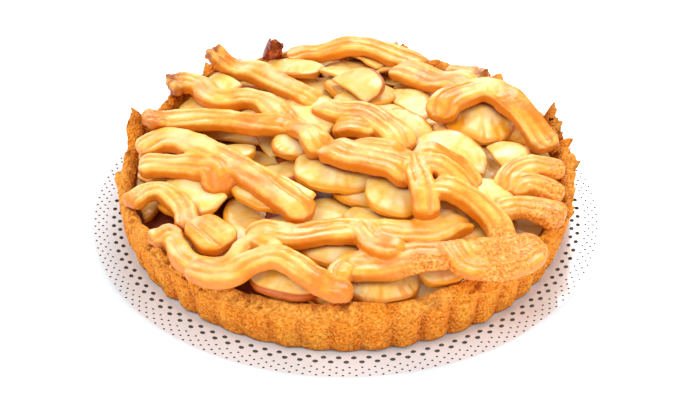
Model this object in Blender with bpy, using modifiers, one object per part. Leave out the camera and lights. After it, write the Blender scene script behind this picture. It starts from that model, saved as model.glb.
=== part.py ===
# Apple tart on its white pierced plate.
# A fluted shortcrust shell stands on the plate, an apple filling is heaped in it, loose apple slices
# lie on the heap, and thick piped strands, melted together where they cross, run over all of it.
# Units are metres; the plan lists below are in millimetres and go through the MM factor.

import itertools
import math
import random

import bmesh
import bpy
from mathutils import Matrix, Vector, noise
from mathutils.bvhtree import BVHTree

MM = 0.001
GAP = 0.35 * MM

PLATE_RADIUS = 141 * MM
PLATE_WELL_RADIUS = 121 * MM
PLATE_HEIGHT = 10 * MM
PLATE_THICKNESS = 3.4 * MM
PLATE_RIM_RISE = 1.2 * MM
PLATE_EDGE = 1.2 * MM
PLATE_BEVEL = 1.5 * MM
FOOT_RADIUS = 88 * MM
FOOT_WIDTH = 5 * MM
PLATE_STEPS = 60

TART_BOTTOM = PLATE_HEIGHT + GAP
CRUST_RADIUS = 124.5 * MM
CRUST_BASE_RADIUS = 120.5 * MM
CRUST_HEIGHT = 30 * MM
CRUST_FLOOR = 4 * MM
CRUST_WALL = 8 * MM
CRUST_SHOULDER = 14 * MM
CRUST_TOP_FALL = 3.5 * MM
FLUTES = 50
FLUTE_DEPTH = 2.8 * MM
STEPS_PER_FLUTE = 4

HEAP_RADIUS = 113 * MM
HEAP_EDGE = 18 * MM
HEAP_CENTRE = 31 * MM
HEAP_POWER = 2.2
HEAP_STEPS = 44
HEAP_ROUGHNESS = 1.6 * MM
SUNK_SLICE_THICKNESS = 4.4 * MM
SUNK_SLICE_BEND = 2.5 * MM
SUNK_SLICE_RISE = 0.2 * MM
SLICE_THICKNESS = 4.2 * MM
CORE_SIDE_HOLLOW = 0.18
SLICE_MIDDLE = 0.42

PEEL_PLACE = (-46 * MM, 107 * MM)
PEEL_HEIGHT = 15 * MM
PEEL_THICKNESS = 1.5 * MM
PEEL_RADIUS = 6 * MM
PEEL_FLARE = 2 * MM
PEEL_LEAN = 3.5 * MM
PEEL_HALF_ARC = 62
PEEL_TURN = -20

STRAND_THICKNESS = 8.6 * MM
STRAND_STEP = 10 * MM
STRAND_THINNEST = 0.97
STRAND_UNEVENNESS = 0.06
STRAND_TOP_EDGE = 37 * MM
STRAND_TOP_CENTRE = 49 * MM
CROSSING_SINK = 7.5 * MM
END_REACH = 0.4
STEEPEST = 0.55
SLOPE_SHARE = 1.08
FINE_STEP = 1 * MM
SIDE_SAMPLES = 9
REST_MARGIN = 0.35 * MM
END_SHARE = 0.55
SMALLEST_STRAND = 300 * MM ** 3
RAY_START = 0.2
DROP_STEP = 0.5 * MM
SEED = 11

# Places on the rim where the baked crust stands up or has broken away: angle, rise in mm, half width.
RIM_MARKS = [
    (165, 12.5, 3.2),
    (174, -4.5, 6),
    (181, -5.5, 5),
    (188, 5.5, 2.6),
    (151, -2, 6),
    (130, 3, 4),
    (43, 4, 4),
    (17, 14, 3.4),
    (3, 4, 4),
    (-20, -2, 7),
    (-62, 2.5, 9),
    (-88, 2, 8),
    (-128, -1.5, 8),
    (212, 3, 5),
]

# Slices sunk into the heap: centre x, y, length, width, turn of the long side and lean, in degrees.
SUNK_SLICES = [
    (-22, 62, 40, 20, -30, 14),
    (-4, 82, 40, 20, 10, -12),
    (28, 66, 36, 18, -35, 16),
    (-70, 42, 38, 20, 60, 12),
    (-88, 50, 34, 17, 70, -16),
    (-84, 12, 38, 20, -20, 12),
    (-58, 4, 40, 20, 15, -12),
    (-66, -66, 34, 20, 25, 14),
    (-54, -68, 36, 20, -55, -14),
    (-38, -68, 36, 18, -25, 16),
    (-92, -64, 32, 17, -60, 14),
    (-20, -92, 40, 19, 10, 16),
    (56, -84, 40, 20, 25, -14),
    (84, -70, 32, 18, 50, 12),
    (96, -42, 34, 18, 80, -12),
    (97, -6, 34, 18, -60, 14),
    (60, 34, 38, 20, -30, -14),
    (88, 38, 34, 18, -50, 12),
    (20, 22, 38, 20, 20, 14),
    (20, -10, 40, 20, -10, -14),
    (-56, -18, 36, 18, -40, 12),
    (30, 98, 34, 17, -20, -12),
    (-62, 78, 34, 17, 35, 12),
]

# Loose slices, lowest first: name, centre x, y, length, width, turn, lean across, bend at the ends.
# At a turn of 0 the round skin side faces the back; a lean below 0 lets the skin side down.
LOOSE_SLICES = [
    ("slice_back_left", -33, 91, 38, 19, 158, -6, 3),
    ("slice_back", 2, 81, 34, 18, -46, -8, 2),
    ("slice_back_folded", 9, 56, 34, 20, -54, 10, 3),
    ("slice_middle_left", -20, 34, 44, 26, -42, 6, 3),
    ("slice_left_short", -31, -2, 24, 16, 110, -6, 2),
    ("slice_left", -84, -37, 40, 22, 143, -7, 3),
    ("slice_long_left", -41, -41, 48, 21, 149, -6, 3),
    ("slice_near_middle", -3, -27, 52, 27, 172, -5, 3),
    ("slice_front_middle", 27, -51, 36, 24, 174, -5, 2),
    ("slice_right_pale", 75, -38, 30, 19, 188, -6, 2),
    ("slice_right_baked", 90, 0, 28, 18, -66, 10, 2),
    ("slice_right_broad", 57, 0, 42, 23, -16, 6, 3),
    ("slice_peel_right", 73, 64, 34, 18, 164, -8, 3),
    ("slice_ribbed", 73, 28, 40, 27, 168, -16, 3),
    ("slice_front_leaf", -30, -107, 38, 17, 165, -8, 3),
    ("slice_front_yellow", 18, -104, 38, 18, 183, -12, 3),
    ("slice_front_right", 49, -99, 26, 15, 206, -10, 2),
]

# Piped strands, lowest first: name, width in mm, and route points x, y in mm with an optional lift.
STRANDS = [
    ("back_left_rise", 13, [(-80, 93, 9), (-72, 89), (-62, 86), (-52, 80), (-42, 67), (-31, 54),
                            (-22, 44), (-14, 39)]),
    ("back_bow", 13, [(-26, 106), (-17, 107), (-8, 108, 2), (4, 109, 5), (16, 108, 3), (30, 102),
                      (46, 93)]),
    ("left_back_curl", 13, [(-103, 70), (-93, 73), (-84, 69), (-78, 55), (-69, 47), (-57, 47),
                            (-46, 41), (-38, 28), (-30, 14), (-21, 0), (-15, -11)]),
    ("back_band", 19, [(28, 88), (38, 80), (50, 69), (63, 57), (73, 50)]),
    ("back_right_stub", 12, [(58, 82), (70, 80), (83, 77, 2)]),
    ("middle_bow", 16, [(-14, 37), (-6, 29), (8, 27), (17, 20), (26, 8), (31, -5)]),
    ("middle_blob", 13, [(-7, 15), (4, 13), (16, 12)]),
    ("left_cross", 14, [(-112, 24), (-100, 29), (-88, 29), (-70, 25), (-54, 19), (-40, 14), (-28, 12)]),
    ("left_long", 15, [(-113, 4), (-101, 11), (-90, 8), (-78, -2), (-67, -11), (-57, -22),
                       (-44, -36), (-31, -50), (-19, -62)]),
    ("left_low", 15, [(-111, -12), (-103, -12), (-92, -15), (-80, -18), (-69, -24), (-66, -38)]),
    ("left_rim", 11, [(-112, -46), (-106, -36), (-97, -34), (-88, -44), (-83, -53), (-80, -66)]),
    ("front_left_slab", 18, [(-78, -62), (-70, -70), (-60, -82)]),
    ("front_left_hook", 10, [(-98, -77), (-89, -70), (-85, -80), (-79, -91), (-68, -95), (-57, -94),
                             (-51, -85), (-45, -83), (-40, -89), (-33, -97)]),
    ("front_rim", 12, [(-78, -97), (-67, -102), (-56, -106), (-48, -103), (-38, -101), (-27, -104),
                       (-18, -112), (-8, -118), (3, -117)]),
    ("front_long", 15, [(-50, -79), (-38, -77), (-24, -78), (-10, -75), (8, -74), (28, -76),
                        (43, -74), (53, -66), (63, -60)]),
    ("front_band", 17, [(-6, -94), (6, -98), (22, -98), (38, -99), (52, -97)]),
    ("front_drop", 10, [(2, -99), (-3, -104), (-4, -112)]),
    ("front_cross", 13, [(7, -66), (10, -78), (16, -89), (28, -95)]),
    ("middle_fan", 16, [(-11, -14), (0, -23), (12, -30), (24, -36), (35, -45)]),
    ("middle_ply", 12, [(2, -14), (14, -20), (26, -24), (38, -26)]),
    ("right_upright", 13, [(33, -22), (36, -40), (39, -55), (41, -70)]),
    ("right_upper", 12, [(36, -20), (49, -23), (61, -26), (68, -35)]),
    ("right_middle", 12, [(37, -35), (46, -37), (56, -43), (66, -50)]),
    ("right_lower", 13, [(44, -52), (56, -55), (68, -59), (77, -68), (80, -80)]),
    ("right_sweep", 15, [(51, 24), (56, 34), (66, 41), (78, 47), (88, 42), (96, 32), (105, 19),
                         (112, 7)]),
    ("right_rim_upper", 13, [(117, -16), (107, -14), (97, -15), (88, -22), (82, -34)]),
    ("right_rim_middle", 12, [(87, -36), (94, -31), (103, -31), (113, -38)]),
    ("right_rim_lower", 14, [(77, -56), (87, -50), (99, -50), (112, -57)]),
    ("front_right_slab", 19, [(60, -98), (72, -92), (85, -85), (99, -78)]),
    ("front_right_rim", 14, [(51, -90), (54, -100), (60, -109), (72, -107), (84, -98), (97, -86)]),
]

random.seed(SEED)


def clear_scene():
    for old in list(bpy.data.objects):
        bpy.data.objects.remove(old, do_unlink=True)


def new_collection(name):
    group = bpy.data.collections.new(name)
    bpy.context.scene.collection.children.link(group)
    return group


def new_material(name, colour, roughness):
    material = bpy.data.materials.new(name)
    material.use_nodes = True
    shader = material.node_tree.nodes["Principled BSDF"]
    shader.inputs["Base Color"].default_value = (*colour, 1)
    shader.inputs["Roughness"].default_value = roughness
    shader.inputs["Metallic"].default_value = 0
    return material


def new_object(name, mesh, group, material=None):
    thing = bpy.data.objects.new(name, mesh)
    group.objects.link(thing)
    if material is not None:
        mesh.materials.clear()
        mesh.materials.append(material)
    return thing


def evaluated_mesh(thing):
    bpy.context.view_layer.update()
    graph = bpy.context.evaluated_depsgraph_get()
    return bpy.data.meshes.new_from_object(thing.evaluated_get(graph))


def apply_modifiers(thing):
    baked = evaluated_mesh(thing)
    old = thing.data
    thing.modifiers.clear()
    thing.data = baked
    bpy.data.meshes.remove(old)


def turned(name, profile, steps, group, material):
    """A profile of radius and height points, run down its outer side, turned about Z."""
    mesh = bpy.data.meshes.new(name)
    edges = [(i, i + 1) for i in range(len(profile) - 1)]
    mesh.from_pydata([(r, 0, z) for r, z in profile], edges, [])
    thing = new_object(name, mesh, group)
    screw = thing.modifiers.new("turn", "SCREW")
    screw.axis = "Z"
    screw.steps = steps
    screw.render_steps = steps
    screw.use_merge_vertices = True
    screw.merge_threshold = 0.01 * MM
    apply_modifiers(thing)
    thing.data.materials.append(material)
    return thing


def smooth_step(low, high, value):
    t = min(1, max(0, (value - low) / (high - low)))
    return t * t * (3 - 2 * t)


def wrapped_degrees(angle, centre):
    return abs((angle - centre + 180) % 360 - 180)


def smooth_route(points, spacing):
    """Points spaced evenly along a smooth curve through the route's own points."""
    padded = [points[0]] + points + [points[-1]]
    fine = []
    for i in range(1, len(padded) - 2):
        a, b, c, d = padded[i - 1:i + 3]
        for k in range(12):
            t = k / 12
            fine.append(0.5 * ((2 * b) + (c - a) * t + (2 * a - 5 * b + 4 * c - d) * t * t
                               + (3 * b - a - 3 * c + d) * t ** 3))
    fine.append(points[-1])
    total = sum((fine[i + 1] - fine[i]).length for i in range(len(fine) - 1))
    count = max(2, round(total / spacing))
    wanted = [total * k / count for k in range(count + 1)]
    spaced = []
    run = 0
    i = 0
    for distance in wanted:
        while i < len(fine) - 2 and run + (fine[i + 1] - fine[i]).length < distance:
            run += (fine[i + 1] - fine[i]).length
            i += 1
        span = (fine[i + 1] - fine[i]).length
        spaced.append(fine[i].lerp(fine[i + 1], min(1, (distance - run) / span)))
    return spaced


def tree_of(things):
    """One search tree over the world-space faces of several objects."""
    points = []
    faces = []
    for thing in things:
        first = len(points)
        points.extend(thing.matrix_world @ v.co for v in thing.data.vertices)
        faces.extend([first + i for i in face.vertices] for face in thing.data.polygons)
    return BVHTree.FromPolygons(points, faces)


def top_at(tree, x, y):
    hit = tree.ray_cast(Vector((x, y, RAY_START)), Vector((0, 0, -1)))[0]
    return hit.z if hit else None


def underside_at(tree, x, y):
    hit = tree.ray_cast(Vector((x, y, -RAY_START)), Vector((0, 0, 1)))[0]
    return hit.z if hit else None


def drop_onto(thing, supports):
    """Lowers or lifts a piece until it rests on its supports with the gap between them."""
    bpy.context.view_layer.update()
    below = tree_of(supports)
    piece = tree_of([thing])
    corners = [thing.matrix_world @ v.co for v in thing.data.vertices]
    low_x = min(c.x for c in corners)
    high_x = max(c.x for c in corners)
    low_y = min(c.y for c in corners)
    high_y = max(c.y for c in corners)
    clear = None
    for i in range(int((high_x - low_x) / DROP_STEP) + 2):
        for k in range(int((high_y - low_y) / DROP_STEP) + 2):
            x = low_x + i * DROP_STEP
            y = low_y + k * DROP_STEP
            under = underside_at(piece, x, y)
            top = top_at(below, x, y)
            if under is None or top is None:
                continue
            clear = under - top if clear is None else min(clear, under - top)
    thing.location.z -= clear - GAP - REST_MARGIN
    bpy.context.view_layer.update()


def heap_height(radius):
    share = min(1, radius / HEAP_RADIUS)
    return TART_BOTTOM + HEAP_EDGE + (HEAP_CENTRE - HEAP_EDGE) * (1 - share ** HEAP_POWER)


def build_plate(group):
    """A flat plate on a foot ring, its broad border slightly raised."""
    under = PLATE_HEIGHT - PLATE_THICKNESS
    border = PLATE_HEIGHT + PLATE_RIM_RISE
    profile = [
        (0, PLATE_HEIGHT),
        (PLATE_WELL_RADIUS, PLATE_HEIGHT),
        (PLATE_WELL_RADIUS + 2 * MM, PLATE_HEIGHT + PLATE_RIM_RISE / 2),
        (PLATE_RADIUS - PLATE_BEVEL, border),
        (PLATE_RADIUS, border - PLATE_EDGE),
        (PLATE_RADIUS - PLATE_BEVEL, border - 2 * PLATE_EDGE),
        (PLATE_WELL_RADIUS, under),
        (FOOT_RADIUS + FOOT_WIDTH, under),
        (FOOT_RADIUS + FOOT_WIDTH - 1 * MM, 0),
        (FOOT_RADIUS, 0),
        (FOOT_RADIUS - 1 * MM, under),
        (0, under),
    ]
    material = new_material("white porcelain", (0.9, 0.9, 0.88), 0.2)
    return turned("plate", profile, PLATE_STEPS, group, material)


def rim_rise(angle):
    """Height of the rim above its mean at an angle: a rough bake, and the named marks."""
    around = Vector((math.cos(angle) * 2.4, math.sin(angle) * 2.4, 0))
    rise = 1.1 * noise.noise(around * 1.6) + 0.8 * noise.noise(around * 5 + Vector((7, 0, 0)))
    for centre, height, half_width in RIM_MARKS:
        away = wrapped_degrees(math.degrees(angle), centre)
        rise += height * max(0, 1 - (away / half_width) ** 2) ** 0.8 if away < half_width else 0
    return rise * MM


def build_crust(group):
    """The shell: a flat floor and a leaning fluted wall with a thick rounded rim."""
    inner = CRUST_RADIUS - CRUST_WALL
    base = TART_BOTTOM
    top = base + CRUST_HEIGHT
    profile = [
        (0, base + CRUST_FLOOR),
        (inner - 3 * MM, base + CRUST_FLOOR),
        (inner, top - 7 * MM),
        (CRUST_RADIUS - CRUST_WALL / 2, top),
        (CRUST_RADIUS - 0.6 * MM, top - CRUST_TOP_FALL),
        (CRUST_RADIUS - 1.5 * MM, base + CRUST_SHOULDER),
        (CRUST_BASE_RADIUS, base + 1.6 * MM),
        (CRUST_BASE_RADIUS - 1.4 * MM, base),
        (0, base),
    ]
    material = new_material("baked shortcrust", (0.74, 0.36, 0.1), 0.75)
    crust = turned("crust", profile, FLUTES * STEPS_PER_FLUTE, group, material)
    for vertex in crust.data.vertices:
        x, y, z = vertex.co
        radius = math.hypot(x, y)
        if radius < inner - 1 * MM:
            continue
        angle = math.atan2(y, x)
        rib = abs(math.sin(angle * FLUTES / 2)) ** 0.75
        outer = smooth_step(CRUST_BASE_RADIUS - 4 * MM, CRUST_BASE_RADIUS - 1 * MM, radius)
        fading = 1 - 0.8 * smooth_step(base + CRUST_SHOULDER, top, z)
        radius -= FLUTE_DEPTH * (1 - rib) * outer * fading
        radius += 0.5 * MM * noise.noise(Vector((x, y, z)) * 160) * outer
        lift = smooth_step(top - 12 * MM, top - 1 * MM, z)
        vertex.co = (radius * math.cos(angle), radius * math.sin(angle), z + rim_rise(angle) * lift)
    return crust


def slice_mesh(name, length, width, thickness, bend, cells=(6, 3)):
    """A half-moon of apple: a straight core side, a round skin side and drooping ends."""
    flat = bmesh.new()
    bmesh.ops.create_grid(flat, x_segments=cells[0], y_segments=cells[1], size=1)
    for vertex in flat.verts:
        along = math.sin(vertex.co.x * 1.36)
        across = (vertex.co.y + 1) / 2
        arc = math.sqrt(max(0, 1 - (along * 0.985) ** 2)) ** 0.8
        core_side = -CORE_SIDE_HOLLOW * arc
        skin_side = 0.06 + 0.94 * arc
        y = core_side + (skin_side - core_side) * across
        droop = bend * along * along
        vertex.co = (along * length / 2, (y - SLICE_MIDDLE) * width, -droop - 0.08 * width * (across - 0.4) ** 2)
    mesh = bpy.data.meshes.new(name)
    flat.to_mesh(mesh)
    flat.free()
    holder = bpy.data.objects.new(name, mesh)
    bpy.context.scene.collection.objects.link(holder)
    shell = holder.modifiers.new("thickness", "SOLIDIFY")
    shell.thickness = thickness
    shell.offset = 0
    solid = evaluated_mesh(holder)
    bpy.data.objects.remove(holder, do_unlink=True)
    bpy.data.meshes.remove(mesh)
    return solid


def follow_heap(thing):
    """Bends a placed piece to the heap's dome, so that it lies along it."""
    centre = thing.location
    level = heap_height(math.hypot(centre.x, centre.y))
    turn = thing.matrix_world.to_3x3()
    for vertex in thing.data.vertices:
        place = thing.matrix_world @ vertex.co
        rise = heap_height(math.hypot(place.x, place.y)) - level
        vertex.co += turn.inverted() @ Vector((0, 0, rise))
    thing.data.update()


def place_slice(thing, x, y, turn, lean):
    radius = math.hypot(x, y) * MM
    thing.matrix_world = (Matrix.Translation((x * MM, y * MM, heap_height(radius)))
                          @ Matrix.Rotation(math.radians(turn), 4, "Z")
                          @ Matrix.Rotation(math.radians(lean), 4, "X"))
    bpy.context.view_layer.update()
    follow_heap(thing)


def keep_within(thing, radius):
    """Pulls the vertices beyond a radius back to it."""
    back = thing.matrix_world.inverted()
    for vertex in thing.data.vertices:
        place = thing.matrix_world @ vertex.co
        away = place.xy.length
        if away > radius:
            vertex.co = back @ Vector((place.x * radius / away, place.y * radius / away, place.z))


def outward_closed(thing):
    work = bmesh.new()
    work.from_mesh(thing.data)
    bmesh.ops.remove_doubles(work, verts=work.verts, dist=0.005 * MM)
    bmesh.ops.recalc_face_normals(work, faces=work.faces)
    work.to_mesh(thing.data)
    work.free()


def islands_of(work):
    """The connected pieces of a mesh, each as a set of its vertices, largest first."""
    unseen = set(work.verts)
    islands = []
    while unseen:
        stack = [unseen.pop()]
        island = set(stack)
        while stack:
            for edge in stack.pop().link_edges:
                for vertex in edge.verts:
                    if vertex not in island:
                        island.add(vertex)
                        stack.append(vertex)
        unseen -= island
        islands.append(island)
    return sorted(islands, key=len, reverse=True)


def volume_of(island):
    """Signed volume of a closed island; a sealed hollow comes out below zero."""
    total = 0
    for face in {face for vertex in island for face in vertex.link_faces}:
        corners = [loop.vert.co for loop in face.loops]
        for i in range(1, len(corners) - 1):
            total += corners[0].dot(corners[i].cross(corners[i + 1])) / 6
    return total


def keep_islands(thing, keep):
    """Keeps only the islands with these places in the order of size."""
    work = bmesh.new()
    work.from_mesh(thing.data)
    for i, island in enumerate(islands_of(work)):
        if i not in keep:
            bmesh.ops.delete(work, geom=list(island), context="VERTS")
    work.to_mesh(thing.data)
    work.free()


def drop_slivers(thing):
    """Removes the flat four-faced scraps that a union leaves hanging on an edge."""
    work = bmesh.new()
    work.from_mesh(thing.data)
    bmesh.ops.triangulate(work, faces=work.faces)
    scraps = set()
    for edge in work.edges:
        if len(edge.link_faces) < 3:
            continue
        a, b = edge.verts
        tips = [next(v for v in face.verts if v not in (a, b)) for face in edge.link_faces]
        for (i, c), (k, d) in itertools.combinations(enumerate(tips), 2):
            doubled = [edge.link_faces[i], edge.link_faces[k]]
            sides = doubled if c is d else doubled + [work.faces.get((a, c, d)), work.faces.get((b, c, d))]
            if all(sides):
                scraps.update(sides)
    bmesh.ops.delete(work, geom=list(scraps), context="FACES")
    work.to_mesh(thing.data)
    work.free()


def unite(base, pieces):
    """Joins a collection of pieces to the base as one solid, and removes the pieces."""
    joined = base.modifiers.new("union", "BOOLEAN")
    joined.operation = "UNION"
    joined.operand_type = "COLLECTION"
    joined.collection = pieces
    joined.solver = "MANIFOLD"
    apply_modifiers(base)
    for piece in list(pieces.objects):
        bpy.data.objects.remove(piece, do_unlink=True)
    bpy.data.collections.remove(pieces)
    drop_slivers(base)


def build_filling(group):
    """The heap of cooked apple: a domed core with the lower slices sunk into it."""
    floor = TART_BOTTOM + CRUST_FLOOR + GAP
    side = CRUST_RADIUS - CRUST_WALL - 0.6 * MM
    rings = [0, 20, 40, 58, 76, 92, 107]
    profile = [(ring * MM, heap_height(ring * MM)) for ring in rings]
    profile += [(side - 1 * MM, TART_BOTTOM + HEAP_EDGE - 1.5 * MM), (side - 3 * MM, floor), (0, floor)]
    material = new_material("cooked apple", (0.9, 0.6, 0.22), 0.35)
    filling = turned("apple_filling", profile, HEAP_STEPS, group, material)
    for vertex in filling.data.vertices:
        radius = math.hypot(vertex.co.x, vertex.co.y)
        if vertex.co.z > TART_BOTTOM + HEAP_EDGE and radius < 110 * MM:
            vertex.co.z += HEAP_ROUGHNESS * noise.noise(vertex.co * 55)
    pieces = new_collection("sunk slices")
    for i, (x, y, length, width, turn, lean) in enumerate(SUNK_SLICES):
        name = f"sunk_{i + 1}"
        mesh = slice_mesh(name, length * MM, width * MM, SUNK_SLICE_THICKNESS, SUNK_SLICE_BEND, cells=(5, 2))
        thing = new_object(name, mesh, pieces, material)
        place_slice(thing, x, y, turn, lean)
        thing.location.z += SUNK_SLICE_RISE
        bpy.context.view_layer.update()
        keep_within(thing, side - 2 * MM)
    unite(filling, pieces)
    keep_islands(filling, [0])
    return filling


def build_slices(group, supports):
    """The loose slices, each laid on what is already there."""
    material = new_material("apple flesh", (0.96, 0.82, 0.42), 0.3)
    laid = []
    for name, x, y, length, width, turn, lean, bend in LOOSE_SLICES:
        mesh = slice_mesh(name, length * MM, width * MM, SLICE_THICKNESS, bend * MM)
        thing = new_object(name, mesh, group, material)
        place_slice(thing, x, y, turn, lean)
        outward_closed(thing)
        drop_onto(thing, supports + laid)
        laid.append(thing)
    return laid


def build_peel(group, supports):
    """A curled strip of dark baked peel that stands up at the back of the heap."""
    mesh = bpy.data.meshes.new("peel_curl")
    flat = bmesh.new()
    bmesh.ops.create_grid(flat, x_segments=6, y_segments=3, size=1)
    for vertex in flat.verts:
        along = vertex.co.x
        up = (vertex.co.y + 1) / 2
        angle = math.radians(PEEL_HALF_ARC * along)
        radius = PEEL_RADIUS + PEEL_FLARE * up
        crest = 1 - 0.25 * along * along
        vertex.co = (radius * math.sin(angle) + PEEL_LEAN * up, radius * (1 - math.cos(angle)),
                     PEEL_HEIGHT * up * crest)
    flat.to_mesh(mesh)
    flat.free()
    peel = new_object("peel_curl", mesh, group, new_material("baked peel", (0.3, 0.07, 0.02), 0.4))
    shell = peel.modifiers.new("thickness", "SOLIDIFY")
    shell.thickness = PEEL_THICKNESS
    shell.offset = 0
    apply_modifiers(peel)
    outward_closed(peel)
    peel.matrix_world = (Matrix.Translation((*PEEL_PLACE, heap_height(HEAP_RADIUS)))
                         @ Matrix.Rotation(math.radians(PEEL_TURN), 4, "Z"))
    drop_onto(peel, supports)
    return peel


def strand_heights(stations, half_width, half_height, hard, soft):
    """Centre heights that keep a strand clear of the hard pieces and let it melt into earlier strands."""
    heights = []
    for i, place in enumerate(stations):
        ahead = stations[min(i + 1, len(stations) - 1)] - stations[max(i - 1, 0)]
        side = Vector((-ahead.y, ahead.x, 0)).normalized()
        highest = None
        for k in range(-SIDE_SAMPLES, SIDE_SAMPLES + 1):
            share = k / SIDE_SAMPLES
            offset = place + side * (half_width * share)
            depth = half_height * math.sqrt(max(0, 1 - share * share))
            top = top_at(hard, offset.x, offset.y)
            if top is not None:
                level = top + GAP + REST_MARGIN + depth * SLOPE_SHARE
                highest = level if highest is None else max(highest, level)
            top = top_at(soft, offset.x, offset.y) if soft else None
            if top is not None:
                level = top - CROSSING_SINK + depth
                highest = level if highest is None else max(highest, level)
        share = min(1, place.xy.length / HEAP_RADIUS)
        dome_top = STRAND_TOP_EDGE + (STRAND_TOP_CENTRE - STRAND_TOP_EDGE) * (1 - share ** HEAP_POWER)
        dome = TART_BOTTOM + dome_top - half_height
        heights.append(dome if highest is None else max(dome, highest))
    return heights


def lay_strand(name, width, route, hard, soft, pieces):
    """One piped strand as a tube, flattened, with rounded ends, draped over what lies below."""
    points = [Vector((p[0] * MM, p[1] * MM, p[2] * MM if len(p) > 2 else 0)) for p in route]
    per_span = round(STRAND_STEP / FINE_STEP)
    half_width = width * MM / 2
    half_height = STRAND_THICKNESS / 2
    coarse = smooth_route(points, STRAND_STEP)
    coarse.insert(0, coarse[0] + (coarse[0] - coarse[1]).normalized() * half_width * END_REACH)
    coarse.append(coarse[-1] + (coarse[-1] - coarse[-2]).normalized() * half_width * END_REACH)
    fine = []
    for i in range(len(coarse) - 1):
        fine.extend(coarse[i].lerp(coarse[i + 1], k / per_span) for k in range(per_span))
    fine.append(coarse[-1])
    needed = strand_heights(fine, half_width, half_height, hard, soft)
    heights = []
    for i in range(len(coarse)):
        first = max(0, (i - 1) * per_span + 1)
        heights.append(max(needed[first:(i + 1) * per_span]))
    heights[0] = heights[1] = max(heights[:2])
    heights[-1] = heights[-2] = max(heights[-2:])
    for _ in range(len(heights)):
        for i in range(len(heights)):
            for k in (max(0, i - 1), min(len(heights) - 1, i + 1)):
                most = STEEPEST * (coarse[i] - coarse[k]).length
                heights[i] = max(heights[i], heights[k] - most)
    flat = half_height / half_width
    curve = bpy.data.curves.new(name, "CURVE")
    curve.dimensions = "3D"
    curve.twist_mode = "Z_UP"
    curve.bevel_depth = half_width
    curve.bevel_resolution = 2
    curve.use_fill_caps = True
    spline = curve.splines.new("POLY")
    places = [(c, h, STRAND_THINNEST + STRAND_UNEVENNESS * random.random()) for c, h in zip(coarse, heights)]
    places[0] = (coarse[0], heights[0], END_SHARE)
    places[-1] = (coarse[-1], heights[-1], END_SHARE)
    spline.points.add(len(places) - 1)
    for point, (place, level, radius) in zip(spline.points, places):
        point.co = (place.x, place.y, (level + place.z) / flat, 1)
        point.radius = radius
    tube = new_object(name, curve, pieces)
    mesh = evaluated_mesh(tube)
    bpy.data.objects.remove(tube, do_unlink=True)
    bpy.data.curves.remove(curve)
    for vertex in mesh.vertices:
        vertex.co.z *= flat
    thing = new_object(name, mesh, pieces)
    outward_closed(thing)
    return thing


def build_strands(group, supports):
    """All strands, laid in order and melted together into one open net."""
    material = new_material("baked strand", (0.9, 0.55, 0.18), 0.3)
    pieces = new_collection("strand pieces")
    hard = tree_of(supports)
    laid = []
    for name, width, route in STRANDS:
        soft = tree_of(laid) if laid else None
        laid.append(lay_strand(name, width, route, hard, soft, pieces))
    base = laid[0]
    pieces.objects.unlink(base)
    base.name = "piped_strands"
    base.data.materials.append(material)
    group.objects.link(base)
    unite(base, pieces)
    work = bmesh.new()
    work.from_mesh(base.data)
    solid = [i for i, island in enumerate(islands_of(work)) if volume_of(island) > SMALLEST_STRAND]
    work.free()
    for order, i in enumerate(solid[1:]):
        apart = new_object(f"piped_strand_{order + 2}", base.data.copy(), group)
        keep_islands(apart, [i])
    keep_islands(base, solid[:1])


def shade(group):
    for thing in group.objects:
        thing.data.shade_smooth()
        thing.data.set_sharp_from_angle(angle=math.radians(50))


def main():
    clear_scene()
    tart = new_collection("apple tart")
    build_plate(tart)
    crust = build_crust(tart)
    filling = build_filling(tart)
    slices = build_slices(tart, [crust, filling])
    peel = build_peel(tart, [crust, filling] + slices)
    build_strands(tart, [crust, filling, peel] + slices)
    shade(tart)


main()
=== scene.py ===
# Looks of an apple tart on its white pierced plate: a fluted shortcrust shell, cooked apple slices heaped
# in it, and thick piped strands baked golden over them. Metres, +Z up, the photographed side faces -Y.

import math
import random

import bpy
import numpy as np
from mathutils import Matrix, Vector, noise
from mathutils.bvhtree import BVHTree


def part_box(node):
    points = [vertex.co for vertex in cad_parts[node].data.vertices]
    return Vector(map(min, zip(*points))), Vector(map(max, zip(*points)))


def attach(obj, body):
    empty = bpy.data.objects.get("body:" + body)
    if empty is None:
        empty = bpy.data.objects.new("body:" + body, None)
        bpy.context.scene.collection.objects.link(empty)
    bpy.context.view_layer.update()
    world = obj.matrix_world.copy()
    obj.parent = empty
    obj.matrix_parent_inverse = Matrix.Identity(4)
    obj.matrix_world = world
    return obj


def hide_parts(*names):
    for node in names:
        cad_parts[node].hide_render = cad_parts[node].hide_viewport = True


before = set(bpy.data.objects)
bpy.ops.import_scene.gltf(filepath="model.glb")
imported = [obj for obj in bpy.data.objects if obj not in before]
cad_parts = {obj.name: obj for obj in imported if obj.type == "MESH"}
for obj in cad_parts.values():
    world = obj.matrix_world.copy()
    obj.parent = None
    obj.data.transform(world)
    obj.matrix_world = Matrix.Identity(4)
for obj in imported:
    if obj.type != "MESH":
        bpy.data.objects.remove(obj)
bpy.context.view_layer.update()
mm = 0.001

camera = {
    "distance": 880 * mm, "elevation": 36.7, "heightOfPivot": 10 * mm,
    "target": (2.22 * mm, 0, 15.24 * mm), "lens": 81.42,
}

heap = {  # the dome that the slices lie on, as the frame's filling has it
    "base": 10.35 * mm, "edge": 18 * mm, "centre": 31 * mm, "radius": 113 * mm, "power": 2.2,
}


# Helpers for meshes

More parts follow.
